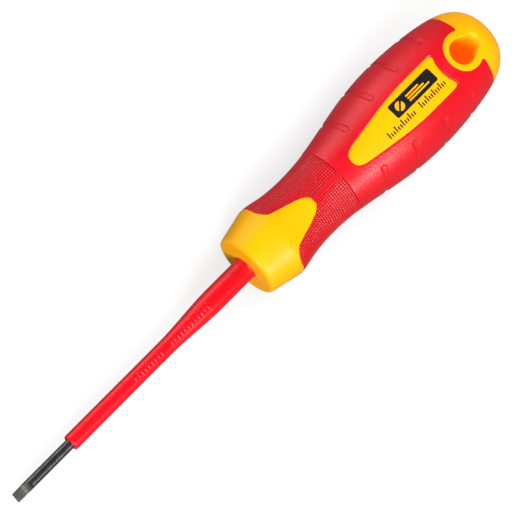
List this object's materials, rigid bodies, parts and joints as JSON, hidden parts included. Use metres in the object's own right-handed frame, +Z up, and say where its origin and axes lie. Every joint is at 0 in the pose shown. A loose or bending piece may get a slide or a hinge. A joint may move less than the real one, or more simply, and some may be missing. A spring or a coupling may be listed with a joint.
{
  "type": "insulated screwdriver",
  "caption": "Small slotted electrician's screwdriver with an insulated shaft and a two-colour moulded handle with a soft grip, a knurled neck and a hang hole.",
  "frame": {"origin": "centre of the driving tip's end face", "axes": "+X along the tool's axis from the tip to the butt, +Z the normal of the front window and the axis of the hang hole, +Y to the left when looking along +X with +Z up"},
  "size_m": [0.1557, 0.025, 0.0244],
  "materials": {
    "blade_steel": "blackened steel, satin, with a ground tip",
    "sleeve_red": "moulded insulating plastic, half gloss",
    "core_hard": "hard moulded plastic, natural colour, hidden",
    "body_yellow": "hard moulded plastic, satin with a fine spark-eroded grain",
    "grip_red": "soft thermoplastic elastomer, matt to satin",
    "ink_black": "pad-printed ink"
  },
  "bodies": {
    "root": {"blade": "blade_steel", "blade_sleeve": "sleeve_red", "tang_core": "core_hard", "handle_body": "body_yellow", "grip": "grip_red", "front_badge": "ink_black", "front_size_marks": "ink_black", "back_badge": "ink_black", "back_size_marks": "ink_black"}
  },
  "joints": []
}
